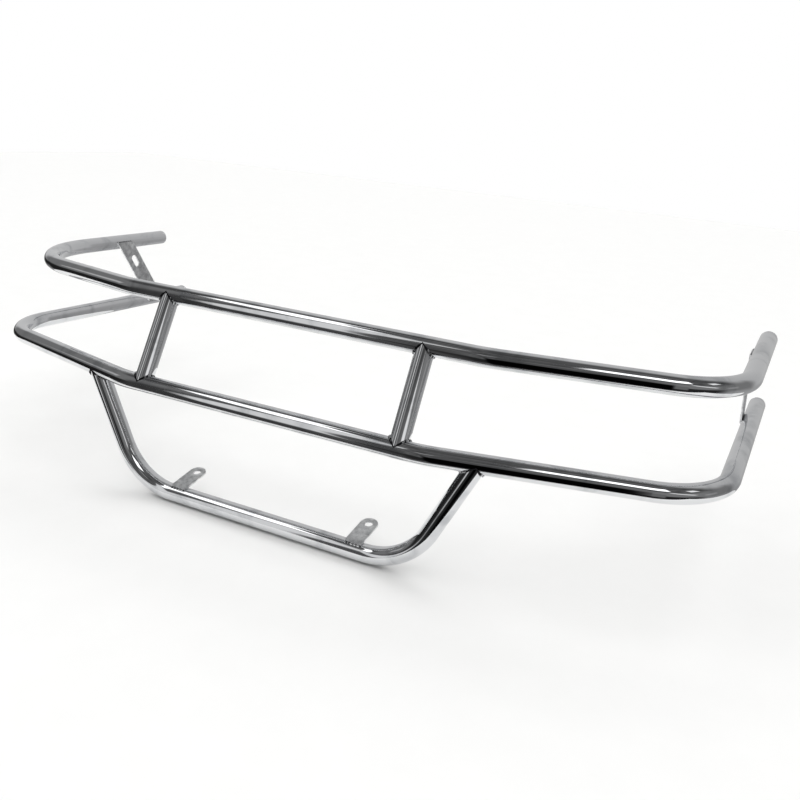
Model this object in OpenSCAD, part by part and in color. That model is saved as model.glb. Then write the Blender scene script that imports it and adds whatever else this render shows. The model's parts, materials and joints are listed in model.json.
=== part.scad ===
// Front guard for a small vehicle: two bent tube hoops joined by uprights, with a lower loop,
// a pair of bolted foot tabs and a slotted strap on each side, all welded together.
// +Z is up, +Y points back towards the vehicle and +X is the guard's width.
// The origin is midway between the two foot tab holes, at half the tabs' thickness.

/* [Tube] */
// Outside diameter of every tube
tube_d = 25.4; // [20:0.1:32]
// Wall thickness of every tube
tube_wall = 1.6; // [1.2:0.1:2.5]
// Radius of the corner bends, at the tube's axis
corner_r = 102; // [60:1:125]
// Radius of the upper hoop's left corner bend, which is wider than the others
upper_left_corner_r = 175; // [60:1:190]
// Radius of the shallow bends in the front, at the tube's axis
sweep_r = 170; // [80:5:260]

/* [Hoops] */
// Overall width across the arms
guard_w = 1192; // [1000:1:1450]
// Height from the lower hoop's axis to the upper hoop's axis
hoop_pitch = 120; // [90:1:180]
// Distance that the upper hoop's front sits behind the lower hoop's front
upper_setback = 60; // [0:1:100]
// Width of the upper hoop's straight front
upper_front_w = 570; // [450:1:700]
// Distance that the upper hoop's corners sit behind its front
upper_sweep = 60; // [30:1:110]
// Depth of the upper hoop, from its front's axis to the ends of its arms
upper_depth = 390; // [300:1:520]
// Width of the lower hoop's straight front
lower_front_w = 474; // [450:1:600]
// Distance that the lower hoop's corners sit behind its front
lower_sweep = 81; // [30:1:110]
// Depth of the lower hoop, from its front's axis to the ends of its arms
lower_depth = 511; // [420:1:640]

/* [Uprights] */
// Distance between the uprights' axes
upright_pitch = 410; // [250:1:420]

/* [Lower loop] */
// Width between the legs' axes where they meet the lower hoop
loop_top_w = 612; // [540:1:720]
// Width of the loop's bottom between its corners
loop_bottom_w = 448; // [360:1:520]
// Height from the loop's bottom axis to the lower hoop's axis
loop_drop = 162; // [125:1:220]
// Distance that the loop's bottom sits in front of its legs' tops
loop_rake = 5; // [0:1:30]

/* [Foot tabs] */
// Distance between the two tab holes
tab_pitch = 294; // [160:1:300]
// Width of a tab
tab_w = 25.4; // [22:0.1:32]
// Thickness of a tab
tab_t = 3; // [2:0.5:6]
// Distance along a tab from the line where it rests on the tube to its hole
tab_reach = 40; // [32:1:70]
// Length of a tab in front of the line where it rests on the tube
tab_toe = 3.5; // [2:0.5:6]
// Angle that the tabs rise towards the back
tab_tilt = 12; // [0:1:20]
// Diameter of the tab holes
tab_hole_d = 11; // [6:0.5:13]

/* [Side straps] */
// Width of a strap, square to its length
strap_w = 32; // [26:1:40]
// Thickness of a strap
strap_t = 3; // [2:0.5:6]
// Distance from the upper arm's end forward to the middle of the strap's top
strap_from_end = 108; // [80:1:160]
// Distance that the strap's bottom sits behind its top
strap_rake = 78; // [40:1:90]
// Length of strap past each arm's axis
strap_lap = 1.5; // [0:0.5:6]
// Width of the slot in each strap
slot_w = 11; // [6:0.5:14]
// Length of the slot from end to end
slot_l = 26; // [20:1:32]
// Distance along the strap from the upper arm's axis to the slot's middle
slot_drop = 44; // [36:1:60]

/* [End caps] */
// Height of a cap's straight rim
cap_rim = 1.5; // [1:0.5:4]
// Radius of a cap's rounded edge
cap_edge_r = 4; // [2:0.5:6]
// Radius of a cap's shallow dome
cap_dome_r = 40; // [30:1:60]
// Length of the spigot that enters the tube
spigot_l = 10; // [5:1:20]
// Gap around the spigot inside the tube
spigot_gap = 0.1; // [0:0.05:0.3]

/* [Welds] */
// Width of a round weld over the tube that carries the joint
weld_w = 2.6; // [1.5:0.1:4]
// Height of a round weld up the tube that is joined
weld_h = 2.2; // [1.5:0.1:4]
// Radius of a straight weld along a plate's edge
seam_r = 2.2; // [1.5:0.1:3]
// Depth that a plate is let into the tube it rests on
seat = 0.6; // [0.2:0.1:1.2]
// Distance that a joined tube stops short of the other tube's axis
cope_land = 1.5; // [1:0.5:3]

/* [Hidden] */
$fn = 72;

left = -1;
right = 1;
through = 1; // extra length of a cut, past the face that it opens
bend_lap = 0.5; // length of a straight that laps over a bend's end
bend_thinning = 0.02; // how much thinner a bend is across, inside the straights that lap it

tube_r = tube_d / 2;
bore_d = tube_d - 2 * tube_wall;
arm_x = guard_w / 2 - tube_r;

// The loop's bottom carries the tabs, so its axis is placed from the tab holes.
plate_lift = tube_r - seat + tab_t / 2;
loop_y = -tab_reach * cos(tab_tilt) + plate_lift * sin(tab_tilt);
loop_z = -tab_reach * sin(tab_tilt) - plate_lift * cos(tab_tilt);
loop_height = norm([loop_rake, loop_drop]);
loop_tilt = 90 - atan2(loop_rake, loop_drop);

// The legs' tops stand on the lower hoop's swept sides.
side_slope = lower_sweep / (arm_x - lower_front_w / 2);
leg_top_y = max(0, loop_top_w - lower_front_w) / 2 * side_slope;

lower_y = loop_y + loop_rake - leg_top_y;
lower_z = loop_z + loop_drop;
upper_y = lower_y + upper_setback;
upper_z = lower_z + hoop_pitch;

upper_path = hoop_path(upper_front_w, upper_sweep, upper_depth);
lower_path = hoop_path(lower_front_w, lower_sweep, lower_depth);
loop_path = [
    [-loop_top_w / 2, loop_height], [-loop_bottom_w / 2, 0],
    [loop_bottom_w / 2, 0], [loop_top_w / 2, loop_height],
];
upper_radii = [0, upper_left_corner_r, sweep_r, sweep_r, corner_r, 0];
lower_radii = [0, corner_r, sweep_r, sweep_r, corner_r, 0];
loop_radii = [0, corner_r, corner_r, 0];

upright_tilt = atan2(upper_setback, hoop_pitch);
upright_l = norm([upper_setback, hoop_pitch]);

strap_top_y = upper_y + upper_depth - strap_from_end;
strap_tilt = atan2(strap_rake, hoop_pitch);
strap_face_x = arm_x - tube_r + seat;
strap_chord = strap_w / cos(strap_tilt);

steel = [0.80, 0.81, 0.83];
plate_steel = [0.66, 0.67, 0.68];
weld_steel = [0.52, 0.52, 0.54];

// ---- paths and tubes ----

// Corner points of a hoop, from its left arm's end round to its right arm's end.
function hoop_path(front_w, sweep, depth) = [
    [-arm_x, depth], [-arm_x, sweep], [-front_w / 2, 0],
    [front_w / 2, 0], [arm_x, sweep], [arm_x, depth],
];

function heading(from, to) = atan2(to.y - from.y, to.x - from.x);

function turn(path, i) = heading(path[i], path[i + 1]) - heading(path[i - 1], path[i]);

// Length that the bend at point i takes from the straight on each side of it.
function bend_trim(path, radii, i) =
    i == 0 || i == len(path) - 1 ? 0 : radii[i] * tan(turn(path, i) / 2);

// The same path with both of its ends moved along by extra.
function stretched(path, extra) =
    let (last = len(path) - 1,
         start_way = (path[0] - path[1]) / norm(path[0] - path[1]),
         end_way = (path[last] - path[last - 1]) / norm(path[last] - path[last - 1]))
    [for (i = [0 : last])
        path[i] + (i == 0 ? extra * start_way : i == last ? extra * end_way : [0, 0])];

module ring(outer_d, inner_d) {
    difference() {
        circle(d = outer_d);
        if (inner_d > 0)
            circle(d = inner_d);
    }
}

// A round tube, or a bar where inner_d is 0, that follows a path of left turns in the XY plane.
// Each straight laps over the ends of its bends, whose wall is slightly thinner.
module bent_tube(path, radii, outer_d, inner_d = 0) {
    last = len(path) - 1;
    for (i = [0 : last - 1]) {
        start = i == 0 ? 0 : bend_trim(path, radii, i) - bend_lap;
        spare = i == last - 1 ? 0 : bend_trim(path, radii, i + 1) - bend_lap;
        translate([path[i].x, path[i].y, 0])
            rotate([0, 0, heading(path[i], path[i + 1])])
                translate([start, 0, 0])
                    rotate([0, 90, 0])
                        linear_extrude(norm(path[i + 1] - path[i]) - start - spare)
                            ring(outer_d, inner_d);
    }
    for (i = [1 : last - 1])
        translate([path[i].x, path[i].y, 0])
            rotate([0, 0, heading(path[i - 1], path[i])])
                translate([-bend_trim(path, radii, i), radii[i], 0])
                    rotate([0, 0, -90])
                        rotate_extrude(angle = turn(path, i))
                            translate([radii[i], 0])
                                ring(outer_d - bend_thinning, inner_d + bend_thinning);
}

module place_upper() translate([0, upper_y, upper_z]) children();
module place_lower() translate([0, lower_y, lower_z]) children();
module place_loop() translate([0, loop_y, loop_z]) rotate([loop_tilt, 0, 0]) children();

// The outer shapes that the joined pieces are cut to fit.
module upper_bar() place_upper() bent_tube(upper_path, upper_radii, tube_d);
module lower_bar() place_lower() bent_tube(lower_path, lower_radii, tube_d);
module loop_bar() place_loop() bent_tube(loop_path, loop_radii, tube_d);

// ---- tubes ----

module upper_hoop() color(steel) place_upper() bent_tube(upper_path, upper_radii, tube_d, bore_d);

module lower_hoop() color(steel) place_lower() bent_tube(lower_path, lower_radii, tube_d, bore_d);

// An upright's frame: its axis from the lower hoop's axis up to the upper hoop's axis.
module place_upright(side)
    translate([side * upright_pitch / 2, lower_y, lower_z])
        rotate([-upright_tilt, 0, 0])
            children();

module upright_bar(side, d, extra = 0)
    place_upright(side)
        translate([0, 0, cope_land - extra])
            cylinder(d = d, h = upright_l - 2 * cope_land + 2 * extra);

module upright(side) {
    color(steel)
    difference() {
        upright_bar(side, tube_d);
        upright_bar(side, bore_d, through);
        upper_bar();
        lower_bar();
    }
}

module lower_loop() {
    color(steel)
    difference() {
        place_loop() bent_tube(stretched(loop_path, -cope_land), loop_radii, tube_d, bore_d);
        lower_bar();
    }
}

// ---- plates ----

module tab_plate(side) {
    translate([side * tab_pitch / 2, 0, 0])
        rotate([tab_tilt, 0, 0])
            translate([0, 0, -tab_t / 2])
                linear_extrude(tab_t)
                    difference() {
                        union() {
                            circle(d = tab_w);
                            translate([-tab_w / 2, -tab_reach - tab_toe])
                                square([tab_w, tab_reach + tab_toe]);
                        }
                        circle(d = tab_hole_d);
                    }
}

module foot_tab(side) {
    color(plate_steel)
    difference() {
        tab_plate(side);
        loop_bar();
    }
}

// The strap seen from the side: X is the guard's +Y and Y its +Z, from the upper arm's axis.
module strap_outline() {
    top = strap_lap;
    bottom = -hoop_pitch - strap_lap;
    top_shift = -top * tan(strap_tilt);
    bottom_shift = -bottom * tan(strap_tilt);
    polygon([
        [top_shift - strap_chord / 2, top], [top_shift + strap_chord / 2, top],
        [bottom_shift + strap_chord / 2, bottom], [bottom_shift - strap_chord / 2, bottom],
    ]);
}

module slot_outline() {
    slot_half = (slot_l - slot_w) / 2;
    rotate(strap_tilt)
        translate([0, -slot_drop]) {
            translate([-slot_w / 2, -slot_half]) square([slot_w, 2 * slot_half]);
            for (end = [-1, 1])
                translate([0, end * slot_half]) circle(d = slot_w);
        }
}

module strap_plate(side) {
    translate([side * strap_face_x, strap_top_y, upper_z])
        translate([side > 0 ? -strap_t : 0, 0, 0])
            rotate([90, 0, 90])
                linear_extrude(strap_t)
                    difference() {
                        strap_outline();
                        slot_outline();
                    }
}

module side_strap(side) {
    color(plate_steel)
    difference() {
        strap_plate(side);
        upper_bar();
        lower_bar();
    }
}

// ---- end caps ----

// Half of a cap's section: a spigot, a straight rim, a rounded edge and a shallow dome.
module cap_section() {
    edge_x = tube_r - cap_edge_r;
    dome_angle = asin(edge_x / (cap_dome_r - cap_edge_r));
    dome_z = cap_rim - (cap_dome_r - cap_edge_r) * cos(dome_angle);
    edge_steps = 8;
    dome_steps = 4;
    polygon(concat(
        [[0, -spigot_l], [bore_d / 2 - spigot_gap, -spigot_l], [bore_d / 2 - spigot_gap, 0]],
        [[tube_r, 0]],
        [for (i = [0 : edge_steps])
            let (a = i * (90 - dome_angle) / edge_steps)
            [edge_x + cap_edge_r * cos(a), cap_rim + cap_edge_r * sin(a)]],
        [for (i = [1 : dome_steps])
            let (a = dome_angle * (1 - i / dome_steps))
            [cap_dome_r * sin(a), dome_z + cap_dome_r * cos(a)]]
    ));
}

module end_cap(side, hoop_y, hoop_z, depth) {
    color(steel)
    translate([side * arm_x, hoop_y + depth, hoop_z])
        rotate([-90, 0, 0])
            rotate_extrude()
                cap_section();
}

// ---- welds ----

// A round weld: what lies close to both the joined bar and the bar that carries it.
module upright_top_weld(side) {
    color(weld_steel)
    difference() {
        intersection() {
            place_upright(side)
                translate([0, 0, upright_l / 2])
                    cylinder(d = tube_d + 2 * weld_w, h = upright_l / 2 - cope_land);
            place_upper() bent_tube(upper_path, upper_radii, tube_d + 2 * weld_h);
        }
        upright_bar(side, tube_d, through);
        upper_bar();
    }
}

module upright_bottom_weld(side) {
    color(weld_steel)
    difference() {
        intersection() {
            place_upright(side)
                translate([0, 0, cope_land])
                    cylinder(d = tube_d + 2 * weld_w, h = upright_l / 2 - cope_land);
            place_lower() bent_tube(lower_path, lower_radii, tube_d + 2 * weld_h);
        }
        upright_bar(side, tube_d, through);
        lower_bar();
    }
}

module loop_weld(side) {
    color(weld_steel)
    difference() {
        intersection() {
            place_loop() {
                leg = loop_path[3] - loop_path[2];
                translate([side * loop_path[3].x, loop_path[3].y, 0])
                    rotate([0, 0, side > 0 ? heading([0, 0], -leg) : 180 - heading([0, 0], -leg)])
                        translate([cope_land, 0, 0])
                            rotate([0, 90, 0])
                                cylinder(d = tube_d + 2 * weld_w, h = norm(leg) / 2);
            }
            place_lower() bent_tube(lower_path, lower_radii, tube_d + 2 * weld_h);
        }
        place_loop() bent_tube(stretched(loop_path, through), loop_radii, tube_d);
        lower_bar();
    }
}

module tab_weld(side) {
    color(weld_steel)
    difference() {
        translate([side * tab_pitch / 2, 0, 0])
            rotate([tab_tilt, 0, 0])
                translate([-tab_w / 2, -tab_reach - tab_toe, -tab_t / 2])
                    rotate([0, 90, 0])
                        cylinder(r = seam_r, h = tab_w);
        tab_plate(side);
        loop_bar();
    }
}

// A quarter-round weld along a strap's cut end: way is 1 above the strap and -1 below it.
module strap_weld(side, end_z, way) {
    translate([side * strap_face_x, strap_top_y - end_z * tan(strap_tilt), upper_z + end_z])
        rotate([90, 0, 0])
            linear_extrude(strap_chord, center = true)
                intersection() {
                    circle(r = seam_r);
                    translate([side > 0 ? -seam_r : 0, way > 0 ? 0 : -seam_r])
                        square(seam_r);
                }
}

module strap_top_weld(side) {
    color(weld_steel)
    difference() {
        strap_weld(side, strap_lap, 1);
        upper_bar();
    }
}

module strap_bottom_weld(side) {
    color(weld_steel)
    difference() {
        strap_weld(side, -hoop_pitch - strap_lap, -1);
        lower_bar();
    }
}

upper_hoop();
lower_hoop();
upright(left);  // left_upright
upright(right);  // right_upright
lower_loop();
foot_tab(left);  // left_foot_tab
foot_tab(right);  // right_foot_tab
side_strap(left);  // left_side_strap
side_strap(right);  // right_side_strap
end_cap(left, upper_y, upper_z, upper_depth);  // upper_left_end_cap
end_cap(right, upper_y, upper_z, upper_depth);  // upper_right_end_cap
end_cap(left, lower_y, lower_z, lower_depth);  // lower_left_end_cap
end_cap(right, lower_y, lower_z, lower_depth);  // lower_right_end_cap
upright_top_weld(left);  // left_upright_top_weld
upright_top_weld(right);  // right_upright_top_weld
upright_bottom_weld(left);  // left_upright_bottom_weld
upright_bottom_weld(right);  // right_upright_bottom_weld
loop_weld(left);  // left_loop_weld
loop_weld(right);  // right_loop_weld
tab_weld(left);  // left_tab_weld
tab_weld(right);  // right_tab_weld
strap_top_weld(left);  // left_strap_top_weld
strap_top_weld(right);  // right_strap_top_weld
strap_bottom_weld(left);  // left_strap_bottom_weld
strap_bottom_weld(right);  // right_strap_bottom_weld
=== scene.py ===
"""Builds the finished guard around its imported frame: bent tubes, caps, plates, welds and a stage."""

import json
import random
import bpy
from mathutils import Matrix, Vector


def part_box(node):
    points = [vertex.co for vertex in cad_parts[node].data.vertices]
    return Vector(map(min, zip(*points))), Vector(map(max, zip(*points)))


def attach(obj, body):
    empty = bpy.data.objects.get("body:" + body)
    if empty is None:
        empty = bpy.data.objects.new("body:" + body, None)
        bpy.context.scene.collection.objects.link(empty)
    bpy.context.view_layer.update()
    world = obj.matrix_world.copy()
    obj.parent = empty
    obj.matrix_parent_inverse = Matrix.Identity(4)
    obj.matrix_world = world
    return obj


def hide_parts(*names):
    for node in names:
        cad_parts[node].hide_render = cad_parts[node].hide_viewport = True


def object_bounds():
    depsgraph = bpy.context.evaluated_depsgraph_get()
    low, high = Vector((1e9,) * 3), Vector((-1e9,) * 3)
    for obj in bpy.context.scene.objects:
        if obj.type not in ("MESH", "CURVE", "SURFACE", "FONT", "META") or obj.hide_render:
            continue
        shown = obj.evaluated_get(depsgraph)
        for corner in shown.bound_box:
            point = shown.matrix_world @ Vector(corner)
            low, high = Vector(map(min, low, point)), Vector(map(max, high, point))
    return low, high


bl_info = {
    "name": "Tube front guard",
    "version": (1, 0, 0),
    "blender": (4, 5, 0),
    "location": "View3D > Sidebar > Guard",
    "description": "Builds a polished tube front guard with its caps, plates, welds and stage",
    "category": "Add Mesh",
}

from math import asin, atan2, ceil, cos, hypot, pi, radians, sin, sqrt, tan
from types import SimpleNamespace
from typing import NamedTuple

import bmesh
import bpy
from mathutils import Matrix, Vector

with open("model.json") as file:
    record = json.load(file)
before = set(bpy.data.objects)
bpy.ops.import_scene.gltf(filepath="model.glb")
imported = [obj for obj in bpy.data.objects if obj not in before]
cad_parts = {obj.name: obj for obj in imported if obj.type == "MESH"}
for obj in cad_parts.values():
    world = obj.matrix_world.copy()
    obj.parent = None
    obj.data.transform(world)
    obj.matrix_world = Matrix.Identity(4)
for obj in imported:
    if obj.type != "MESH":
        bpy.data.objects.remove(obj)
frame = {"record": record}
CAD_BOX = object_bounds()

MM = 0.001
BODY = "root"
X = Vector((1, 0, 0))
Y = Vector((0, 1, 0))
Z = Vector((0, 0, 1))
SIDES = {"left": -1, "right": 1}

AROUND = 96  # facets round a tube
RING_STEP = 20 * MM  # longest stretch of straight tube between two rings
BEND_STEP = radians(2)  # turn between two rings of a bend
COPE_SINK = 0.3 * MM  # how far a joined tube's end is let into the tube that it stands on
MERGE = 0.001 * MM  # vertices closer than this are one
SHARP = radians(40)  # edges that turn more than this stay crisp

EDGE_STEPS = 10  # facets across a cap's rounded edge
DOME_STEPS = 6  # facets from that edge to the middle of the cap's dome
TAB_STEPS = 40  # facets round a foot tab's end
HOLE_STEPS = 48  # facets round a foot tab's hole
SLOT_STEPS = 20  # facets round each end of a strap's slot
WORN_STEPS = 3  # facets across a plate's worn edge
UPRIGHT = 0.999  # a plate's faces whose normals stand up at least this straight are shaded flat

RIPPLE_STEPS = 16  # rings of vertices in one ripple of weld
ROUND_FACETS = 14  # facets round the section of a round bead
STRAIGHT_FACETS = 18  # facets round the section of a straight bead
ROUND_SIZES = (0.86, 1.06)  # smallest and largest ripple of a round bead, as shares of its radius
STRAIGHT_SIZES = (0.84, 1.08)  # the same for a straight bead
ROUND_BOW = 0.35  # how far a round bead's ripples bow along it, as a share of their pitch
STRAIGHT_BOW = 0.3  # the same for a straight bead
FLUSH_FALL = 10  # how quickly grinding fades away from where the tubes run level
BEAD_END = 0.02  # least part of a straight bead's section that its ends keep

FLOOR_HALF = 6  # half the width of the floor
FLOOR_GAP = 1 * MM  # how far the floor lies under the guard
SHEET_LIFT = 0.5 * MM  # how far the mirrored sheet lies over the floor
SHEET_FRONT = 0.07  # how far that sheet reaches in front of the guard
SHEET_LEFT = 0.5  # how far it reaches past the guard's left side
SHEET_RIGHT = 0.3  # how far it reaches past the guard's right side
SHEET_BACK = 0.05  # how far in front of the arms' ends it stops
LAMP_ANGLE = radians(100)  # how wide the overhead light is
LAMP_POWER = 2.5  # its strength, in watts on a square metre
ROOM_LEVELS = (0.04, 0.15)  # darkest and lightest clutter of the room in front
CLOTH_LEVELS = (0.60, 0.46)  # brightness of the cloth behind, from its left end to its right end
CLOTH_ENDS = (-0.8, 0.8)  # where across the view those ends lie, as directions along X
CLOTH_EDGE = (0.1, 0.5)  # where the room gives way to the cloth, as directions along Y


class Card(NamedTuple):
    """A patch of the studio that the steel mirrors, in degrees round the guard from its front."""

    azimuth: float
    elevation: float
    half_w: float
    half_h: float
    level: float
    tilt: float = 0
    blur: float = 0.2


CARDS = [
    Card(60, 8, 45, 18, 0.21, blur=0.4),  # pale wall across the room
    Card(38, -29, 66, 18, 0.02, blur=0.15),  # dark room under the sheet's front edge
    Card(-62, -18, 26, 30, 0.05),  # the same room, to the left
    Card(-86, -12, 36, 11, 0.015, blur=0.3),  # its darkest part
    Card(27, -12, 9, 16, 0.15),  # a pale wall beside the camera's stand
    Card(130, -34, 42, 22, 0.36, blur=0.4),  # shaded cloth, low behind on the right
    Card(-150, -40, 40, 22, 0.45, blur=0.4),  # shaded cloth, low behind on the left
    Card(112, 6, 20, 26, 0.20, blur=0.5),  # the cloth's shaded edge
    Card(-78, 22, 32, 20, 0.18),  # opening in the tent
    Card(-68, 18, 6, 6, 0.48, blur=0.4),  # a pale box seen through it
    Card(-60, 50, 20, 5, 1.8, tilt=-22),  # lit top edge of the opening
    Card(-34, 14, 5, 30, 0.75),  # its lit side edge
    Card(57, 18, 17, 3, 0.90, tilt=-30, blur=0.3),  # a strip lamp across the room
    Card(93, 3, 8, 6, 0.32, blur=0.4),  # a door beside it
    Card(-8, 32, 8, 4, 0.26, blur=0.4),  # a beam over the camera
    Card(27, 48, 18, 9, 2.0, blur=0.1),  # high window
    Card(80, 42, 7, 6, 1.0),  # small window
    Card(6, -24, 13, 30, 0.001),  # the camera's own stand
]


# ---- sizes and colours ----


def length(name, description, millimetres):
    """One size of the guard, shown as a length."""
    return bpy.props.FloatProperty(
        name=name, description=description, default=millimetres * MM, unit="LENGTH", precision=4
    )


def angle(name, description, degrees):
    """One angle, shown as a rotation."""
    return bpy.props.FloatProperty(
        name=name, description=description, default=radians(degrees), unit="ROTATION"
    )


def colour(name, description, value):
    """One colour, kept as an sRGB hex value."""
    return bpy.props.StringProperty(name=name, description=description, default=value)


class GuardTubes(bpy.types.PropertyGroup):
    wall: length("Tube wall", "Wall thickness of every tube", 1.6)
    corner_r: length("Corner radius", "Radius of the corner bends, at the tube's axis", 102)
    wide_corner_r: length("Upper left corner", "Radius of the upper hoop's left corner bend", 175)
    sweep_r: length("Sweep radius", "Radius of the shallow bends in the front", 170)
    upper_front_w: length("Upper front", "Width of the upper hoop's straight front", 570)
    upper_sweep: length("Upper sweep", "How far the upper hoop's corners sit behind its front", 60)
    lower_front_w: length("Lower front", "Width of the lower hoop's straight front", 474)
    lower_sweep: length("Lower sweep", "How far the lower hoop's corners sit behind its front", 81)
    loop_top_w: length("Loop top", "Width between the legs where they meet the lower hoop", 612)
    loop_bottom_w: length("Loop bottom", "Width of the loop's bottom between its corners", 448)
    loop_rake: length("Loop rake", "How far the loop's bottom sits in front of its tops", 5)


class GuardPlates(bpy.types.PropertyGroup):
    slot_w: length("Slot width", "Width of the slot in each strap", 11)
    slot_l: length("Slot length", "Length of the slot from end to end", 26)
    tab_edge: length("Tab edge", "Radius worn on to a foot tab's edges", 0.45)
    strap_edge: length("Strap edge", "Radius worn on to a strap's edges", 0.5)


class GuardCaps(bpy.types.PropertyGroup):
    rim: length("Cap rim", "Height of a cap's straight rim", 1.5)
    edge_r: length("Cap edge", "Radius of a cap's rounded edge", 4)
    dome_r: length("Cap dome", "Radius of a cap's shallow dome", 40)
    spigot_l: length("Spigot", "Length of the spigot that enters the tube", 10)
    spigot_gap: length("Spigot gap", "Gap around the spigot inside the tube", 0.1)
    seam: length("Cap seam", "Chamfer that shows where a cap meets its tube", 0.4)


class GuardWelds(bpy.types.PropertyGroup):
    bead_r: length("Round bead", "Radius of the bead round a joined tube", 2.8)
    seam_r: length("Straight bead", "Radius of the bead along a plate's edge", 2.2)
    pitch: length("Ripple pitch", "Distance from one ripple of weld to the next", 4.8)
    depth: bpy.props.FloatProperty(
        name="Ripple depth", description="Share of the bead's radius lost between ripples", default=0.34
    )
    flush: bpy.props.FloatProperty(
        name="Flush",
        description="Share of the bead's radius ground off where the tubes run level",
        default=0.6,
    )
    seed: bpy.props.IntProperty(
        name="Seed", description="Sets how the ripples differ from each other", default=7
    )


class GuardColours(bpy.types.PropertyGroup):
    steel: colour("Polished steel", "Clean mirror-polished stainless", "#E3E4E6")
    smudge: colour("Wiped steel", "Polished stainless where a cloth has left a film", "#C2C4C7")
    plate: colour("Satin plate", "Pickled flat bar", "#E8E9EA")
    plate_dark: colour("Dull plate", "Darker patches left on the flat bar by rolling", "#B4B5B7")
    bead: colour("Weld crown", "Brushed top of a weld ripple", "#DADBDD")
    # The crevice colour is partly oxide and partly painted shade: it darkens the weld where its ripples
    # dip, where shade would fall.
    crevice: colour("Weld crevice", "Oxide left between the ripples of weld", "#2E2E31")
    floor: colour("Floor", "Pale paper that the guard stands over", "#F4F4F3")


class GuardView(bpy.types.PropertyGroup):
    place: bpy.props.FloatVectorProperty(
        name="Camera",
        description="Where the camera stands",
        default=(0.6325, -0.9206, 0.531),
        unit="LENGTH",
    )
    azimuth: angle("Azimuth", "How far the camera looks in from the right", 23.9)
    elevation: angle("Elevation", "How far the camera looks down", 16.5)
    roll: angle("Roll", "How far the camera is turned about its own view", 4.9)
    lens: bpy.props.FloatProperty(name="Lens", description="Focal length, in millimetres", default=38.0)
    shift: bpy.props.FloatVectorProperty(
        name="Shift", description="Lens shift, right and up", size=2, default=(-0.0428, -0.0353)
    )


GROUPS = {
    "guard_tubes": GuardTubes,
    "guard_plates": GuardPlates,
    "guard_caps": GuardCaps,
    "guard_welds": GuardWelds,
    "guard_colours": GuardColours,
    "guard_view": GuardView,
}


# ---- places, worked out from the frame ----


def hoop_place(node, front_w, sweep, tube_r):
    """A hoop's corner points in its own plane, and where that plane's origin lies."""
    low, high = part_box(node)
    arm_x = high.x - tube_r
    origin = Vector((0, low.y + tube_r, (low.z + high.z) / 2))
    depth = high.y - origin.y
    half = front_w / 2
    corners = [(-arm_x, depth), (-arm_x, sweep), (-half, 0), (half, 0), (arm_x, sweep), (arm_x, depth)]
    slope = atan2(sweep, arm_x - half)
    return SimpleNamespace(
        path=[Vector((*corner, 0)) for corner in corners],
        origin=origin, arm_x=arm_x, end_y=high.y, slope=slope,
    )


def measure(scene):
    """Every place that more than one piece shares."""
    tubes = scene.guard_tubes
    low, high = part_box("upper_hoop")
    tube_r = (high.z - low.z) / 2
    upper = hoop_place("upper_hoop", tubes.upper_front_w, tubes.upper_sweep, tube_r)
    lower = hoop_place("lower_hoop", tubes.lower_front_w, tubes.lower_sweep, tube_r)
    low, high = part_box("lower_loop")
    loop = Vector((0, low.y + tube_r, low.z + tube_r))
    return SimpleNamespace(tube_r=tube_r, bore_r=tube_r - tubes.wall, upper=upper, lower=lower, loop=loop)


def mount(name):
    """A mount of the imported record: its place and axis as vectors, and its sizes."""
    found = next(m for m in frame["record"]["mounts"] if m["name"] == name)
    return SimpleNamespace(place=Vector(found["pos_m"]), axis=Vector(found["axis"]), dims=found["dims"])


def reach(point, way, post, post_way, post_r):
    """How far a point travels along way before it meets the near side of a round post."""
    across = way - way.dot(post_way) * post_way
    offset = (point - post) - (point - post).dot(post_way) * post_way
    middle = -across.dot(offset) / across.length_squared
    spare = middle**2 - (offset.length_squared - post_r**2) / across.length_squared
    return middle - sqrt(max(spare, 0))


# ---- making meshes ----


class Wire:
    """A line drawn in the XY plane, through points and round arcs."""

    def __init__(self, bm, x, y):
        self.bm = bm
        self.first = self.last = bm.verts.new((x, y, 0))
        self.edges = []

    def line(self, x, y):
        """Goes straight to a point."""
        vert = self.bm.verts.new((x, y, 0))
        self.edges.append(self.bm.edges.new((self.last, vert)))
        self.last = vert
        return self

    def arc(self, x, y, turn, steps):
        """Goes round a centre by an angle, anticlockwise."""
        known = set(self.bm.edges)
        spun = bmesh.ops.spin(
            self.bm, geom=[self.last], cent=(x, y, 0), axis=Z, angle=turn, steps=steps, use_merge=False
        )
        self.edges += [edge for edge in self.bm.edges if edge not in known]
        self.last = next(e for e in spun["geom_last"] if isinstance(e, bmesh.types.BMVert))
        return self

    def close(self):
        """Goes back to the start, and gives every edge of the line."""
        self.edges.append(self.bm.edges.new((self.last, self.first)))
        return self.edges


def make_piece(bm, name, material, slot, *nodes):
    """Turns a finished bmesh into a piece that stands for its CAD nodes."""
    bmesh.ops.remove_doubles(bm, verts=bm.verts, dist=MERGE)
    bmesh.ops.recalc_face_normals(bm, faces=bm.faces)
    mesh = bpy.data.meshes.new(name)
    bm.to_mesh(mesh)
    bm.free()
    mesh.set_sharp_from_angle(angle=SHARP)
    mesh.materials.append(material)
    piece = bpy.data.objects.new(name, mesh)
    bpy.context.scene.collection.objects.link(piece)
    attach(piece, BODY)
    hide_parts(*nodes)
    return piece


def shade_smooth(bm):
    """Shades every face as part of one curved surface."""
    for face in bm.faces:
        face.smooth = True


def heading(start, end):
    """The direction from start to end in the XY plane, as an angle from +X."""
    return atan2(end.y - start.y, end.x - start.x)


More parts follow.
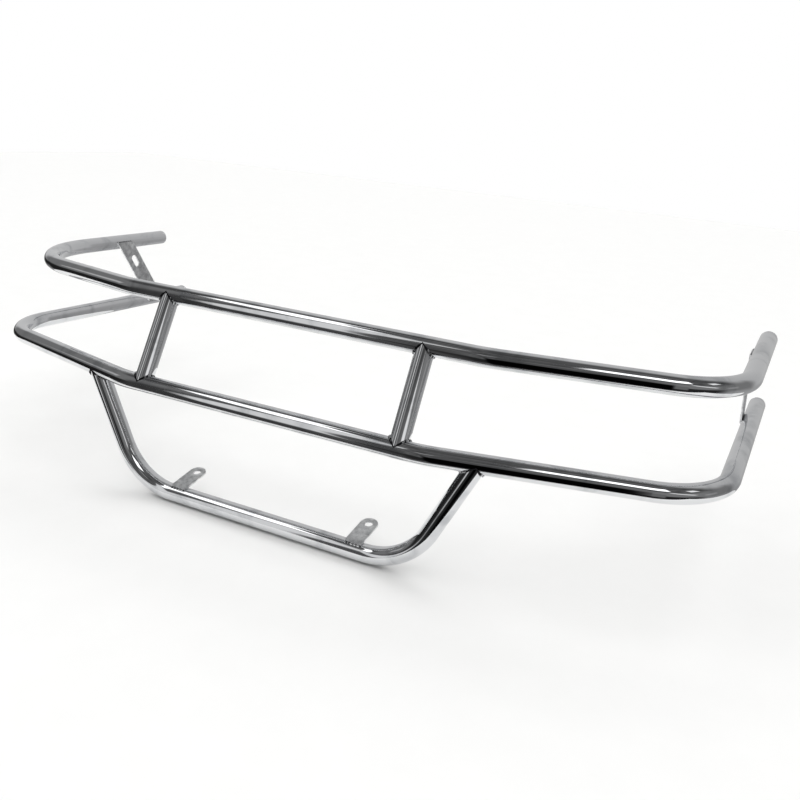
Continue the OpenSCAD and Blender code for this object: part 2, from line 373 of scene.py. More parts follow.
def extrude_ring(bm, edges, matrix, step, unbent):
    """Carries a ring of edges one step along a tube and returns the new ring."""
    new = bmesh.ops.extrude_edge_only(bm, edges=edges)["geom"]
    verts = [part for part in new if isinstance(part, bmesh.types.BMVert)]
    bmesh.ops.transform(bm, matrix=matrix, verts=verts)
    for vert in verts:
        vert[unbent].z += step
    made = set(verts)
    return [
        part for part in new
        if isinstance(part, bmesh.types.BMEdge) and part.verts[0] in made and part.verts[1] in made
    ]


def sweep_wall(bm, radius, path, radii):
    """Draws one wall of a tube along a path of left turns in the XY plane. Returns its end rings."""
    unbent = bm.verts.layers.float_vector.get("unbent") or bm.verts.layers.float_vector.new("unbent")
    verts = bmesh.ops.create_circle(bm, segments=AROUND, radius=radius)["verts"]
    for vert in verts:
        vert[unbent] = vert.co
    facing = Matrix.Rotation(heading(path[0], path[1]), 4, "Z") @ Matrix.Rotation(pi / 2, 4, "Y")
    bmesh.ops.transform(bm, matrix=Matrix.Translation(path[0]) @ facing, verts=verts)
    ring = start = list({edge for vert in verts for edge in vert.link_edges})
    used = 0
    for i in range(1, len(path)):
        way = (path[i] - path[i - 1]).normalized()
        turn = heading(path[i], path[i + 1]) - heading(path[i - 1], path[i]) if i + 1 < len(path) else 0
        trim = radii[i] * tan(turn / 2)
        straight = (path[i] - path[i - 1]).length - used - trim
        steps = ceil(straight / RING_STEP)
        for _ in range(steps):
            shift = Matrix.Translation(way * straight / steps)
            ring = extrude_ring(bm, ring, shift, straight / steps, unbent)
        if turn:
            centre = Matrix.Translation(path[i] - way * trim + Z.cross(way) * radii[i])
            steps = ceil(turn / BEND_STEP)
            swing = centre @ Matrix.Rotation(turn / steps, 4, "Z") @ centre.inverted()
            for _ in range(steps):
                ring = extrude_ring(bm, ring, swing, radii[i] * turn / steps, unbent)
        used = trim
    return start, ring


def bend_tube(path, radii, outer_r, inner_r, matrix):
    """A hollow tube, open right through, and the vertices of its two ends."""
    bm = bmesh.new()
    outer = sweep_wall(bm, outer_r, path, radii)
    inner = sweep_wall(bm, inner_r, path, radii)
    for outside, inside in zip(outer, inner):
        bmesh.ops.bridge_loops(bm, edges=outside + inside)
    bmesh.ops.transform(bm, matrix=matrix, verts=bm.verts)
    shade_smooth(bm)
    ends = [{v for edge in outer[i] + inner[i] for v in edge.verts} for i in (0, 1)]
    return bm, ends


def cope(verts, way, post, post_way, post_r):
    """Cuts a tube's end to the round of the tube that it stands on."""
    for vert in verts:
        vert.co += way * reach(vert.co, way, post, post_way, post_r - COPE_SINK)


def ripple(along, pitch, depth, sizes):
    """How thick a bead is at a distance along it: full on each ripple's crown, thin between them."""
    count = along / pitch
    inside = 2 * (count % 1) - 1
    return (1 - depth * inside**2) * sizes[int(count) % len(sizes)]


def frame_of(way):
    """A rotation that turns +Z to way."""
    return way.to_track_quat("Z", "Y").to_matrix()


def round_bead(name, foot, way, scene, places, post_way):
    """A ring of weld where a tube that points along way stands on the tube through foot."""
    welds = scene.guard_welds
    draw = random.Random(f"{welds.seed} {name}")
    ripples = round(2 * pi * places.tube_r / welds.pitch)
    pitch = 2 * pi * places.tube_r / ripples
    sizes = [draw.uniform(*ROUND_SIZES) for _ in range(ripples)]
    bm = bmesh.new()
    worn = bm.verts.layers.float.new("crevice")
    section = bmesh.ops.create_circle(bm, segments=ROUND_FACETS, radius=welds.bead_r)["verts"]
    stand = Matrix.Translation((places.tube_r, 0, 0)) @ Matrix.Rotation(pi / 2, 4, "X")
    bmesh.ops.transform(bm, matrix=stand, verts=section)
    edges = list({edge for vert in section for edge in vert.link_edges})
    bmesh.ops.spin(
        bm, geom=section + edges, cent=(0, 0, 0), axis=Z, angle=2 * pi,
        steps=RIPPLE_STEPS * ripples, use_merge=True,
    )
    turned = frame_of(way)
    across = way.cross(post_way).normalized()
    for vert in bm.verts:
        around = atan2(vert.co.y, vert.co.x) % (2 * pi)
        line = Vector((cos(around), sin(around), 0)) * places.tube_r
        offset = vert.co - line
        bow = ROUND_BOW * pitch * (1 - (offset.z / welds.bead_r) ** 2)
        along = (around * places.tube_r + bow) % (2 * pi * places.tube_r)
        swell = ripple(along, pitch, welds.depth, sizes)
        level = abs((turned @ line).dot(across)) / places.tube_r
        swell *= 1 - welds.flush * level**FLUSH_FALL
        start = foot + turned @ line
        met = reach(start, way, foot, post_way, places.tube_r)
        # How deep the bead dips here, which the weld material turns into painted shade in the crevices.
        vert[worn] = 1 - swell
        vert.co = start + way * met + turned @ (offset * swell)
    shade_smooth(bm)
    return bm


def straight_bead(name, start, end, radius, scene):
    """A run of weld from start to end, with rounded ends."""
    welds = scene.guard_welds
    draw = random.Random(f"{welds.seed} {name}")
    run = (end - start).length
    ripples = max(3, round(run / welds.pitch))
    pitch = run / ripples
    sizes = [draw.uniform(*STRAIGHT_SIZES) for _ in range(ripples)]
    bm = bmesh.new()
    worn = bm.verts.layers.float.new("crevice")
    made = bmesh.ops.create_cone(
        bm, cap_ends=True, cap_tris=False, segments=STRAIGHT_FACETS,
        radius1=radius, radius2=radius, depth=run,
    )
    bmesh.ops.translate(bm, vec=Z * run / 2, verts=made["verts"])
    sides = [e for e in bm.edges if abs(e.verts[0].co.z - e.verts[1].co.z) > run / 2]
    bmesh.ops.subdivide_edges(bm, edges=sides, cuts=RIPPLE_STEPS * ripples - 1, use_grid_fill=True)
    turned = frame_of((end - start).normalized())
    for vert in bm.verts:
        along = vert.co.z
        edge = min(along, run - along, radius) / radius
        bow = STRAIGHT_BOW * pitch * (1 - (vert.co.y / radius) ** 2)
        swell = ripple(min(along + bow, run - MERGE), pitch, welds.depth, sizes)
        # How deep the bead dips here, which the weld material turns into painted shade in the crevices.
        vert[worn] = 1 - swell
        swell *= sqrt(max(1 - (1 - edge) ** 2, BEAD_END))
        vert.co = start + turned @ Vector((vert.co.x * swell, vert.co.y * swell, along))
    shade_smooth(bm)
    return bm


def make_plate(bm, loops, thickness, edge_r, matrix):
    """A flat plate from its outline and holes, with its edges rounded, standing on its own face."""
    bmesh.ops.triangle_fill(bm, use_beauty=True, edges=loops)
    grown = bmesh.ops.extrude_face_region(bm, geom=list(bm.faces))["geom"]
    verts = [part for part in grown if isinstance(part, bmesh.types.BMVert)]
    bmesh.ops.translate(bm, vec=Z * thickness, verts=verts)
    bmesh.ops.recalc_face_normals(bm, faces=bm.faces)
    rims = [e for e in bm.edges if e.is_manifold and e.calc_face_angle() > SHARP]
    bmesh.ops.bevel(
        bm, geom=rims, offset=edge_r, affect="EDGES", segments=WORN_STEPS, profile=0.5, material=-1
    )
    for face in bm.faces:
        face.smooth = abs(face.normal.z) < UPRIGHT
    bmesh.ops.transform(bm, matrix=matrix, verts=bm.verts)
    return bm


# ---- materials ----


def linear(hex_colour):
    """An sRGB hex colour as linear RGBA."""
    parts = [int(hex_colour[i : i + 2], 16) / 255 for i in (1, 3, 5)]
    return (*(c / 12.92 if c <= 0.04045 else ((c + 0.055) / 1.055) ** 2.4 for c in parts), 1)


def add_node(tree, kind, inputs=(), **settings):
    """Adds a node with its settings, and sets or links its inputs."""
    node = tree.nodes.new(kind)
    for name, value in settings.items():
        setattr(node, name, value)
    for name, value in dict(inputs).items():
        if isinstance(value, bpy.types.NodeSocket):
            tree.links.new(value, node.inputs[name])
        else:
            node.inputs[name].default_value = value
    return node


def new_material(name):
    """An empty material, its tree and its surface shader."""
    material = bpy.data.materials.new(name)
    material.use_nodes = True
    tree = material.node_tree
    tree.nodes.clear()
    shader = add_node(tree, "ShaderNodeBsdfPrincipled")
    add_node(tree, "ShaderNodeOutputMaterial", {"Surface": shader.outputs["BSDF"]})
    return material, tree, shader


def once(build):
    """Makes a material the first time it is asked for, and finds it after that."""
    name = build.__name__

    def found(colours):
        return bpy.data.materials.get(name) or build(name, colours)

    return found


@once
def mirror_polished_stainless(name, colours):
    """Drawn stainless tube, belt-polished along its length and buffed: a near mirror.

    The eye sees reflections that waver a little along the tube, hair lines that run with it, and a
    faint film where it was wiped.
    """
    material, tree, shader = new_material(name)
    tube = add_node(tree, "ShaderNodeAttribute", attribute_name="unbent").outputs["Vector"]
    hair_gap = 1.6 * MM  # real lines are under 0.1 mm apart, too fine to show
    lines = add_node(tree, "ShaderNodeMapping", {"Vector": tube, "Scale": (1, 1, 0.012)})
    hair = add_node(
        tree, "ShaderNodeTexNoise", {"Vector": lines.outputs[0], "Scale": 1 / hair_gap, "Detail": 3.0}
    )
    wave_length = 70 * MM  # the tube's straightness after drawing and polishing
    slow = add_node(tree, "ShaderNodeMapping", {"Vector": tube, "Scale": (3, 3, 0.6)})
    waver = add_node(
        tree, "ShaderNodeTexNoise", {"Vector": slow.outputs[0], "Scale": 1 / wave_length, "Detail": 1.0}
    )
    wipe_size = 45 * MM  # patches that a cloth leaves
    film = add_node(
        tree, "ShaderNodeTexNoise",
        {"Vector": tube, "Scale": 1 / wipe_size, "Detail": 4.0, "Distortion": 0.6},
    )
    patch = add_node(
        tree, "ShaderNodeMapRange",
        {"Value": film.outputs["Fac"], "From Min": 0.45, "From Max": 0.75},
        interpolation_type="SMOOTHSTEP",
    )
    tint = add_node(
        tree, "ShaderNodeMix",
        {"Factor": patch.outputs[0], "A": linear(colours.steel), "B": linear(colours.smudge)},
        data_type="RGBA",
    )
    sheen = add_node(
        tree, "ShaderNodeMapRange",
        {"Value": hair.outputs["Fac"], "From Min": 0.3, "From Max": 0.7, "To Min": 0.02, "To Max": 0.05},
    )
    dull = add_node(
        tree, "ShaderNodeMath",
        {0: patch.outputs[0], 1: 0.05, 2: sheen.outputs[0]}, operation="MULTIPLY_ADD",
    )
    wavy = add_node(
        tree, "ShaderNodeBump", {"Height": waver.outputs["Fac"], "Strength": 1.0, "Distance": 0.12 * MM}
    )
    lined = add_node(
        tree, "ShaderNodeBump",
        {"Height": hair.outputs["Fac"], "Strength": 1.0, "Distance": 0.002 * MM,
         "Normal": wavy.outputs["Normal"]},
    )
    shader.inputs["Metallic"].default_value = 1
    tree.links.new(tint.outputs["Result"], shader.inputs["Base Color"])
    tree.links.new(dull.outputs[0], shader.inputs["Roughness"])
    tree.links.new(lined.outputs["Normal"], shader.inputs["Normal"])
    return material


@once
def pickled_flat_bar(name, colours):
    """Rolled stainless flat bar, pickled and lightly linished.

    The eye sees a satin grey with cloudy darker patches and a fine grain.
    """
    material, tree, shader = new_material(name)
    place = add_node(tree, "ShaderNodeTexCoord").outputs["Object"]
    cloud_size = 9 * MM  # patches left by rolling and pickling
    cloud = add_node(
        tree, "ShaderNodeTexNoise",
        {"Vector": place, "Scale": 1 / cloud_size, "Detail": 5.0, "Roughness": 0.6},
    )
    grain_size = 1.2 * MM  # real grain is about 0.1 mm, too fine to show
    grain = add_node(
        tree, "ShaderNodeTexNoise",
        {"Vector": place, "Scale": 1 / grain_size, "Detail": 3.0, "Roughness": 0.7},
    )
    blend = add_node(
        tree, "ShaderNodeMath", {0: grain.outputs["Fac"], 1: 0.5, 2: cloud.outputs["Fac"]},
        operation="MULTIPLY_ADD",
    )
    patch = add_node(
        tree, "ShaderNodeMapRange", {"Value": blend.outputs[0], "From Min": 0.62, "From Max": 0.95}
    )
    tint = add_node(
        tree, "ShaderNodeMix",
        {"Factor": patch.outputs[0], "A": linear(colours.plate), "B": linear(colours.plate_dark)},
        data_type="RGBA",
    )
    dull = add_node(
        tree, "ShaderNodeMapRange",
        {"Value": blend.outputs[0], "From Min": 0.5, "From Max": 1.0, "To Min": 0.28, "To Max": 0.46},
    )
    rough = add_node(
        tree, "ShaderNodeBump", {"Height": blend.outputs[0], "Strength": 1.0, "Distance": 0.03 * MM}
    )
    shader.inputs["Metallic"].default_value = 1
    tree.links.new(tint.outputs["Result"], shader.inputs["Base Color"])
    tree.links.new(dull.outputs[0], shader.inputs["Roughness"])
    tree.links.new(rough.outputs["Normal"], shader.inputs["Normal"])
    return material


@once
def brushed_weld_bead(name, colours):
    """Stainless weld metal, wire-brushed after welding.

    The eye sees bright crowns on the ripples and, between them, flecks of dark oxide with painted shade
    laid in deepest where the bead dips.
    """
    material, tree, shader = new_material(name)
    place = add_node(tree, "ShaderNodeTexCoord").outputs["Object"]
    worn = add_node(tree, "ShaderNodeAttribute", attribute_name="crevice").outputs["Fac"]
    fleck_size = 2 * MM  # flecks of oxide
    fleck = add_node(
        tree, "ShaderNodeTexNoise",
        {"Vector": place, "Scale": 1 / fleck_size, "Detail": 4.0, "Roughness": 0.65},
    )
    # Painted shade: the weld darkens with the crevice depth, where shade falls between the ripples, and
    # random flecks of oxide are mixed in.
    mixed = add_node(
        tree, "ShaderNodeMath", {0: fleck.outputs["Fac"], 1: 0.25, 2: worn}, operation="MULTIPLY_ADD"
    )
    dirt = add_node(
        tree, "ShaderNodeMapRange",
        {"Value": mixed.outputs[0], "From Min": 0.12, "From Max": 0.42},
        interpolation_type="SMOOTHSTEP",
    )
    tint = add_node(
        tree, "ShaderNodeMix",
        {"Factor": dirt.outputs[0], "A": linear(colours.bead), "B": linear(colours.crevice)},
        data_type="RGBA",
    )
    dull = add_node(
        tree, "ShaderNodeMapRange",
        {"Value": mixed.outputs[0], "From Min": 0.1, "From Max": 0.5, "To Min": 0.16, "To Max": 0.5},
    )
    rough = add_node(
        tree, "ShaderNodeBump", {"Height": fleck.outputs["Fac"], "Strength": 1.0, "Distance": 0.08 * MM}
    )
    shader.inputs["Metallic"].default_value = 1
    tree.links.new(tint.outputs["Result"], shader.inputs["Base Color"])
    tree.links.new(dull.outputs[0], shader.inputs["Roughness"])
    tree.links.new(rough.outputs["Normal"], shader.inputs["Normal"])
    return material


@once
def pale_paper(name, colours):
    """Seamless background paper: matt, pale and very slightly uneven."""
    material, tree, shader = new_material(name)
    place = add_node(tree, "ShaderNodeTexCoord").outputs["Object"]
    fibre_size = 60 * MM  # clouds of denser fibre
    fibre = add_node(
        tree, "ShaderNodeTexNoise", {"Vector": place, "Scale": 1 / fibre_size, "Detail": 3.0}
    )
    lift = add_node(
        tree, "ShaderNodeMapRange", {"Value": fibre.outputs["Fac"], "To Min": 0.97, "To Max": 1.0}
    )
    tint = add_node(
        tree, "ShaderNodeMix",
        {"Factor": 1.0, "A": linear(colours.floor), "B": lift.outputs[0]},
        data_type="RGBA", blend_type="MULTIPLY",
    )
    shader.inputs["Roughness"].default_value = 0.9
    tree.links.new(tint.outputs["Result"], shader.inputs["Base Color"])
    return material


# ---- one operator for each group of pieces ----


class GUARD_OT_hoops(bpy.types.Operator):
    """Bend the upper and lower hoops from polished tube"""

    bl_idname = "guard.hoops"
    bl_label = "Hoops"

    def execute(self, context):
        scene = context.scene
        places = measure(scene)
        tubes = scene.guard_tubes
        for name, hoop, left_r in (
            ("upper", places.upper, tubes.wide_corner_r), ("lower", places.lower, tubes.corner_r),
        ):
            radii = [0, left_r, tubes.sweep_r, tubes.sweep_r, tubes.corner_r, 0]
            matrix = Matrix.Translation(hoop.origin)
            bm, _ = bend_tube(hoop.path, radii, places.tube_r, places.bore_r, matrix)
            steel = mirror_polished_stainless(scene.guard_colours)
            make_piece(bm, f"{name}_hoop_tube", steel, "polished_tube", f"{name}_hoop")
        return {"FINISHED"}


def upright_axis(side, places):
    """An upright's foot on the lower hoop's axis, its head on the upper one, and its direction."""
    low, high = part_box(f"{side}_upright")
    middle = (low.x + high.x) / 2
    foot = Vector((middle, places.lower.origin.y, places.lower.origin.z))
    head = Vector((middle, places.upper.origin.y, places.upper.origin.z))
    return foot, head, (head - foot).normalized()


class GUARD_OT_uprights(bpy.types.Operator):
    """Cut the two uprights and fit them between the hoops"""

    bl_idname = "guard.uprights"
    bl_label = "Uprights"

    def execute(self, context):
        scene = context.scene
        places = measure(scene)
        for side in SIDES:
            foot, head, way = upright_axis(side, places)
            path = [Vector((0, 0, 0)), Vector(((head - foot).length, 0, 0))]
            turned = Matrix.Translation(foot) @ Matrix((way, X, way.cross(X))).transposed().to_4x4()
            bm, ends = bend_tube(path, [0, 0], places.tube_r, places.bore_r, turned)
            cope(ends[0], -way, foot, X, places.tube_r)
            cope(ends[1], way, head, X, places.tube_r)
            steel = mirror_polished_stainless(scene.guard_colours)
            make_piece(bm, f"{side}_upright_tube", steel, "polished_tube", f"{side}_upright")
        return {"FINISHED"}


def loop_shape(tubes, places):
    """The lower loop's path in its own plane, and how that plane is placed."""
    drop = places.lower.origin.z - places.loop.z
    height = hypot(tubes.loop_rake, drop)
    top = tubes.loop_top_w / 2
    bottom = tubes.loop_bottom_w / 2
    path = [Vector((*p, 0)) for p in ((-top, height), (-bottom, 0), (bottom, 0), (top, height))]
    tilt = pi / 2 - atan2(tubes.loop_rake, drop)
    return path, Matrix.Translation(places.loop) @ Matrix.Rotation(tilt, 4, "X")


def leg_axis(sign, scene, places):
    """Where a leg of the loop meets the lower hoop's axis, its way up, and the hoop's way there."""
    path, matrix = loop_shape(scene.guard_tubes, places)
    top, corner = (path[3], path[2]) if sign > 0 else (path[0], path[1])
    post_way = Vector((cos(places.lower.slope), sign * sin(places.lower.slope), 0))
    return matrix @ top, (matrix.to_3x3() @ (top - corner)).normalized(), post_way


class GUARD_OT_loop(bpy.types.Operator):
    """Bend the lower loop and fit its legs under the lower hoop"""

    bl_idname = "guard.loop"
    bl_label = "Lower loop"

    def execute(self, context):
        scene = context.scene
        places = measure(scene)
        path, matrix = loop_shape(scene.guard_tubes, places)
        radii = [0, scene.guard_tubes.corner_r, scene.guard_tubes.corner_r, 0]
        bm, ends = bend_tube(path, radii, places.tube_r, places.bore_r, matrix)
        for end, sign in zip(ends, (-1, 1)):
            top, way, post_way = leg_axis(sign, scene, places)
            cope(end, way, top, post_way, places.tube_r)
        steel = mirror_polished_stainless(scene.guard_colours)
        make_piece(bm, "lower_loop_tube", steel, "polished_tube", "lower_loop")
        return {"FINISHED"}


class GUARD_OT_caps(bpy.types.Operator):
    """Turn the four end caps and seat them in the arms"""

    bl_idname = "guard.caps"
    bl_label = "End caps"

    def execute(self, context):
        scene = context.scene
        places = measure(scene)
        caps = scene.guard_caps
        edge_x = places.tube_r - caps.edge_r
        lean = asin(edge_x / (caps.dome_r - caps.edge_r))
        dome_y = caps.rim - (caps.dome_r - caps.edge_r) * cos(lean)
        spigot_r = places.bore_r - caps.spigot_gap
        for level, hoop in (("upper", places.upper), ("lower", places.lower)):
            for side, sign in SIDES.items():
                bm = bmesh.new()
                outline = Wire(bm, 0, -caps.spigot_l)
                outline.line(spigot_r, -caps.spigot_l).line(spigot_r, 0)
                outline.line(places.tube_r - caps.seam, 0).line(places.tube_r, caps.seam)
                outline.line(places.tube_r, caps.rim)
                outline.arc(edge_x, caps.rim, pi / 2 - lean, EDGE_STEPS)
                outline.arc(0, dome_y, lean, DOME_STEPS)
                geom = list(bm.verts) + list(bm.edges)
                bmesh.ops.spin(
                    bm, geom=geom, cent=(0, 0, 0), axis=Y, angle=2 * pi, steps=AROUND, use_merge=True
                )
                unbent = bm.verts.layers.float_vector.new("unbent")
                for vert in bm.verts:
                    vert[unbent] = (hypot(vert.co.x, vert.co.z), vert.co.y, 0)
                shade_smooth(bm)
                seat = Matrix.Translation((sign * hoop.arm_x, hoop.end_y, hoop.origin.z))
                bmesh.ops.transform(bm, matrix=seat, verts=bm.verts)
                steel = mirror_polished_stainless(scene.guard_colours)
                make_piece(bm, f"{level}_{side}_cap", steel, "end_cap", f"{level}_{side}_end_cap")
        return {"FINISHED"}


class GUARD_OT_tabs(bpy.types.Operator):
    """Cut the two foot tabs that bolt to the vehicle"""

    bl_idname = "guard.tabs"
    bl_label = "Foot tabs"

    def execute(self, context):
        scene = context.scene
        for side in SIDES:
            hole = mount(f"{side}_foot_hole")
            low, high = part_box(f"{side}_foot_tab")
            half = (high.x - low.x) / 2
            thick = hole.dims["length_mm"] * MM
            tilt = atan2(hole.axis.y, -hole.axis.z)
            back = (low.y + thick / 2 * sin(tilt)) / cos(tilt)
            bm = bmesh.new()
            outline = Wire(bm, half, back).line(half, 0).arc(0, 0, pi, TAB_STEPS)
            outline = outline.line(-half, back).close()
            hole_r = hole.dims["r_mm"] * MM
            most = HOLE_STEPS - 1  # the closing edge is the last facet
            ring = Wire(bm, hole_r, 0).arc(0, 0, 2 * pi * most / HOLE_STEPS, most).close()
            lift = Matrix.Translation((0, 0, -thick / 2))
            matrix = Matrix.Translation(hole.place) @ Matrix.Rotation(tilt, 4, "X") @ lift
            make_plate(bm, outline + ring, thick, scene.guard_plates.tab_edge, matrix)
            bar = pickled_flat_bar(scene.guard_colours)
            make_piece(bm, f"{side}_foot_tab_plate", bar, "flat_bar", f"{side}_foot_tab")
        return {"FINISHED"}


def strap_shape(side):
    """A strap's box, its slot and how far it leans, from the frame."""
    low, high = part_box(f"{side}_side_strap")
    middle = (low + high) / 2
    slot = mount(f"{side}_strap_slot").place
    lean = atan2(middle.y - slot.y, slot.z - middle.z)
    chord = (high.y - low.y) - (high.z - low.z) * tan(lean)
    return SimpleNamespace(low=low, high=high, middle=middle, slot=slot, lean=lean, chord=chord)


class GUARD_OT_straps(bpy.types.Operator):
    """Cut the two slotted straps that tie the upper arms to the lower ones"""

    bl_idname = "guard.straps"
    bl_label = "Side straps"

    def execute(self, context):
        scene = context.scene
        plates = scene.guard_plates
        for side in SIDES:
            strap = strap_shape(side)
            rise = (strap.high.z - strap.low.z) / 2
            shift = rise * tan(strap.lean)
            half = strap.chord / 2
            bm = bmesh.new()
            outline = Wire(bm, shift - half, -rise).line(shift + half, -rise)
            outline = outline.line(half - shift, rise).line(-half - shift, rise).close()
            slot_r = plates.slot_w / 2
            end = plates.slot_l / 2 - slot_r
            known = set(bm.verts)
            slot = Wire(bm, slot_r, -end).line(slot_r, end).arc(0, end, pi, SLOT_STEPS)
            most = SLOT_STEPS - 1  # the closing edge is the last facet
            slot = slot.line(-slot_r, -end).arc(0, -end, pi * most / SLOT_STEPS, most).close()
            centre = Vector((strap.slot.y - strap.middle.y, strap.slot.z - strap.middle.z, 0))
            turned = Matrix.Translation(centre) @ Matrix.Rotation(strap.lean, 4, "Z")
            bmesh.ops.transform(bm, matrix=turned, verts=[v for v in bm.verts if v not in known])
            upright = Matrix((Y, Z, X)).transposed().to_4x4()
            matrix = Matrix.Translation((strap.low.x, strap.middle.y, strap.middle.z)) @ upright
            make_plate(bm, outline + slot, strap.high.x - strap.low.x, plates.strap_edge, matrix)
            bar = pickled_flat_bar(scene.guard_colours)
            make_piece(bm, f"{side}_side_strap_plate", bar, "flat_bar", f"{side}_side_strap")
        return {"FINISHED"}


class GUARD_OT_tube_welds(bpy.types.Operator):
    """Run a rippled weld round each joint between tubes"""

    bl_idname = "guard.tube_welds"
    bl_label = "Tube welds"

    def execute(self, context):
        scene = context.scene
        places = measure(scene)
        weld = brushed_weld_bead(scene.guard_colours)
        for side, sign in SIDES.items():
            foot, head, way = upright_axis(side, places)
            top, leg_way, post_way = leg_axis(sign, scene, places)
            joints = {
                f"{side}_upright_bottom": (foot, -way, X),
                f"{side}_upright_top": (head, way, X),
                f"{side}_loop": (top, leg_way, post_way),
            }
            for name, (centre, joined_way, carrier_way) in joints.items():
                bm = round_bead(name, centre, joined_way, scene, places, carrier_way)
                make_piece(bm, f"{name}_bead", weld, "weld_bead", f"{name}_weld")
        return {"FINISHED"}


class GUARD_OT_plate_welds(bpy.types.Operator):
    """Run a rippled weld along the plates' edges on the tubes"""

    bl_idname = "guard.plate_welds"
    bl_label = "Plate welds"

    def execute(self, context):
        scene = context.scene
        seam_r = scene.guard_welds.seam_r
        weld = brushed_weld_bead(scene.guard_colours)
        for side, sign in SIDES.items():
            low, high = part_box(f"{side}_tab_weld")
            toe = Vector((0, low.y + seam_r, (low.z + high.z) / 2))
            bm = straight_bead(f"{side}_tab", toe + X * low.x, toe + X * high.x, seam_r, scene)
            make_piece(bm, f"{side}_tab_bead", weld, "weld_bead", f"{side}_tab_weld")
            strap = strap_shape(side)
            face_x = strap.high.x if sign > 0 else strap.low.x
            for end, z in (("top", strap.high.z), ("bottom", strap.low.z)):
                low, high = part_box(f"{side}_strap_{end}_weld")
                start = Vector((face_x, low.y, z))
                finish = Vector((face_x, high.y, z))
                bm = straight_bead(f"{side}_strap_{end}", start, finish, seam_r, scene)
                make_piece(
                    bm, f"{side}_strap_{end}_bead", weld, "weld_bead", f"{side}_strap_{end}_weld"
                )
        return {"FINISHED"}


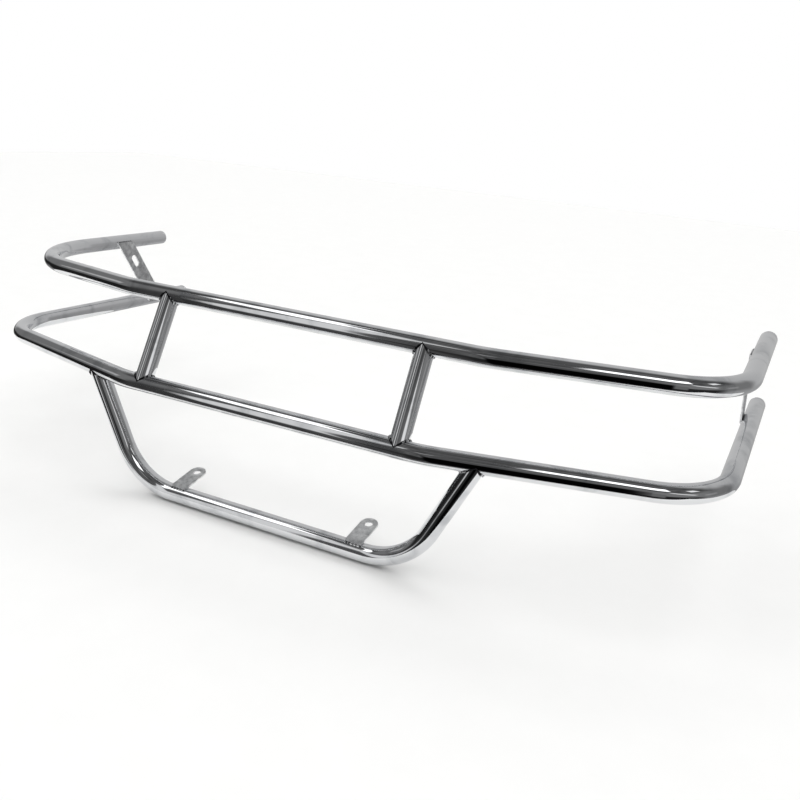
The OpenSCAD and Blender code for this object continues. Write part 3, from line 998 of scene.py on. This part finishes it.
class GUARD_OT_stage(bpy.types.Operator):
    """Lay the floor, light the studio and place the camera"""

    bl_idname = "guard.stage"
    bl_label = "Stage"

    def execute(self, context):
        scene = context.scene
        self.lay_floor(scene)
        self.build_studio(scene)
        self.hang_lamp(scene)
        self.place_camera(scene)
        scene.view_settings.view_transform = "Standard"
        return {"FINISHED"}

    def lay_floor(self, scene):
        """A wide floor to look at, and a sheet on it the size of a table, for the steel to mirror."""
        low, high = CAD_BOX
        sheet = (low.x - SHEET_LEFT, high.x + SHEET_RIGHT, low.y - SHEET_FRONT, high.y - SHEET_BACK)
        for name, (left, right, front, back), lift, mirrored in (
            ("floor", (-FLOOR_HALF, FLOOR_HALF, -FLOOR_HALF, FLOOR_HALF), 0, False),
            ("sheet", sheet, SHEET_LIFT, True),
        ):
            bm = bmesh.new()
            bmesh.ops.create_grid(bm, x_segments=1, y_segments=1, size=FLOOR_HALF)
            for vert in bm.verts:
                vert.co.x = min(max(vert.co.x, left), right)
                vert.co.y = min(max(vert.co.y, front), back)
            bmesh.ops.translate(bm, vec=Z * (low.z - FLOOR_GAP + lift), verts=bm.verts)
            mesh = bpy.data.meshes.new(name)
            bm.to_mesh(mesh)
            bm.free()
            mesh.materials.append(pale_paper(scene.guard_colours))
            floor = bpy.data.objects.new(name, mesh)
            scene.collection.objects.link(floor)
            floor.visible_glossy = mirrored
            for kind in ("camera", "diffuse", "shadow"):
                setattr(floor, f"visible_{kind}", not mirrored)

    def backdrop(self, tree, way, parts):
        """How bright the studio is before its cards: a dim room in front, pale cloth behind."""
        clutter = add_node(tree, "ShaderNodeTexNoise", {"Vector": way, "Scale": 7.0, "Detail": 3.0})
        room = add_node(
            tree, "ShaderNodeMapRange",
            {"Value": clutter.outputs["Fac"], "From Min": 0.3, "From Max": 0.7,
             "To Min": ROOM_LEVELS[0], "To Max": ROOM_LEVELS[1]},
        )
        cloth = add_node(
            tree, "ShaderNodeMapRange",
            {"Value": parts.outputs["X"], "From Min": CLOTH_ENDS[0], "From Max": CLOTH_ENDS[1],
             "To Min": CLOTH_LEVELS[0], "To Max": CLOTH_LEVELS[1]},
        )
        behind = add_node(
            tree, "ShaderNodeMapRange",
            {"Value": parts.outputs["Y"], "From Min": CLOTH_EDGE[0], "From Max": CLOTH_EDGE[1]},
            interpolation_type="SMOOTHSTEP",
        )
        return add_node(
            tree, "ShaderNodeMix",
            {"Factor": behind.outputs[0], "A": room.outputs[0], "B": cloth.outputs[0]},
        ).outputs["Result"]

    def hang_cards(self, tree, parts, level):
        """Lays each card over the backdrop, at its azimuth and elevation."""
        forward = add_node(tree, "ShaderNodeMath", {0: parts.outputs["Y"], 1: -1.0}, operation="MULTIPLY")
        azimuth = add_node(
            tree, "ShaderNodeMath", {0: parts.outputs["X"], 1: forward.outputs[0]}, operation="ARCTAN2"
        )
        elevation = add_node(tree, "ShaderNodeMath", {0: parts.outputs["Z"]}, operation="ARCSINE")
        spot = add_node(
            tree, "ShaderNodeCombineXYZ", {"X": azimuth.outputs[0], "Y": elevation.outputs[0]}
        )
        for card in CARDS:
            turned = add_node(
                tree, "ShaderNodeMapping",
                {"Vector": spot.outputs[0],
                 "Location": (radians(card.azimuth), radians(card.elevation), 0),
                 "Rotation": (0, 0, radians(card.tilt)),
                 "Scale": (radians(card.half_w), radians(card.half_h), 1)},
                vector_type="TEXTURE",
            )
            away = add_node(tree, "ShaderNodeVectorMath", {0: turned.outputs[0]}, operation="ABSOLUTE")
            sides = add_node(tree, "ShaderNodeSeparateXYZ", {"Vector": away.outputs[0]})
            edge = add_node(
                tree, "ShaderNodeMath",
                {0: sides.outputs["X"], 1: sides.outputs["Y"]}, operation="MAXIMUM",
            )
            inside = add_node(
                tree, "ShaderNodeMapRange",
                {"Value": edge.outputs[0], "From Min": 1 + card.blur, "From Max": 1 - card.blur},
                interpolation_type="SMOOTHSTEP",
            )
            level = add_node(
                tree, "ShaderNodeMix", {"Factor": inside.outputs[0], "A": level, "B": card.level}
            ).outputs["Result"]
        return level

    def build_studio(self, scene):
        """The studio that the steel mirrors, plain white where the camera sees past the floor."""
        world = bpy.data.worlds.new("studio")
        scene.world = world
        world.use_nodes = True
        tree = world.node_tree
        tree.nodes.clear()
        way = add_node(tree, "ShaderNodeTexCoord").outputs["Generated"]
        parts = add_node(tree, "ShaderNodeSeparateXYZ", {"Vector": way})
        level = self.hang_cards(tree, parts, self.backdrop(tree, way, parts))
        seen = add_node(tree, "ShaderNodeLightPath").outputs["Is Camera Ray"]
        shown = add_node(tree, "ShaderNodeMix", {"Factor": seen, "A": level, "B": 1.0})
        sky = add_node(tree, "ShaderNodeBackground", {"Strength": shown.outputs["Result"]})
        sky.inputs["Color"].default_value = (1, 1, 1, 1)
        add_node(tree, "ShaderNodeOutputWorld", {"Surface": sky.outputs[0]})

    def hang_lamp(self, scene):
        """A wide soft lamp overhead, which the steel doesn't mirror."""
        lamp = bpy.data.lights.new("lamp", "SUN")
        lamp.angle = LAMP_ANGLE
        lamp.energy = LAMP_POWER
        hung = bpy.data.objects.new("lamp", lamp)
        hung.visible_glossy = False
        scene.collection.objects.link(hung)

    def place_camera(self, scene):
        """The camera, which looks in from the front right and a little down."""
        view = scene.guard_view
        back = Vector((
            sin(view.azimuth) * cos(view.elevation), -cos(view.azimuth) * cos(view.elevation),
            sin(view.elevation),
        ))
        right = Z.cross(back).normalized()
        up = back.cross(right)
        turned = Matrix((right, up, back)).transposed() @ Matrix.Rotation(view.roll, 3, "Z")
        data = bpy.data.cameras.new("camera")
        data.lens = view.lens
        data.shift_x, data.shift_y = view.shift
        camera = bpy.data.objects.new("camera", data)
        camera.matrix_world = Matrix.Translation(view.place) @ turned.to_4x4()
        scene.collection.objects.link(camera)
        scene.camera = camera


class GUARD_PT_panel(bpy.types.Panel):
    """The guard's sizes and colours, and a button for each part of it"""

    bl_idname = "GUARD_PT_panel"
    bl_label = "Tube front guard"
    bl_space_type = "VIEW_3D"
    bl_region_type = "UI"
    bl_category = "Guard"

    def draw(self, context):
        for name, group in GROUPS.items():
            for setting in group.__annotations__:
                self.layout.prop(getattr(context.scene, name), setting)
        for operator in OPERATORS:
            self.layout.operator(operator.bl_idname)


OPERATORS = [
    GUARD_OT_hoops,
    GUARD_OT_uprights,
    GUARD_OT_loop,
    GUARD_OT_caps,
    GUARD_OT_tabs,
    GUARD_OT_straps,
    GUARD_OT_tube_welds,
    GUARD_OT_plate_welds,
    GUARD_OT_stage,
]


def register():
    for cls in [*GROUPS.values(), *OPERATORS, GUARD_PT_panel]:
        bpy.utils.register_class(cls)
    for name, group in GROUPS.items():
        setattr(bpy.types.Scene, name, bpy.props.PointerProperty(type=group))


def unregister():
    for name in GROUPS:
        delattr(bpy.types.Scene, name)
    for cls in reversed([*GROUPS.values(), *OPERATORS, GUARD_PT_panel]):
        bpy.utils.unregister_class(cls)


def main():
    register()
    for operator in OPERATORS:
        group, name = operator.bl_idname.split(".")
        getattr(getattr(bpy.ops, group), name)()


if __name__ == "__main__":
    main()
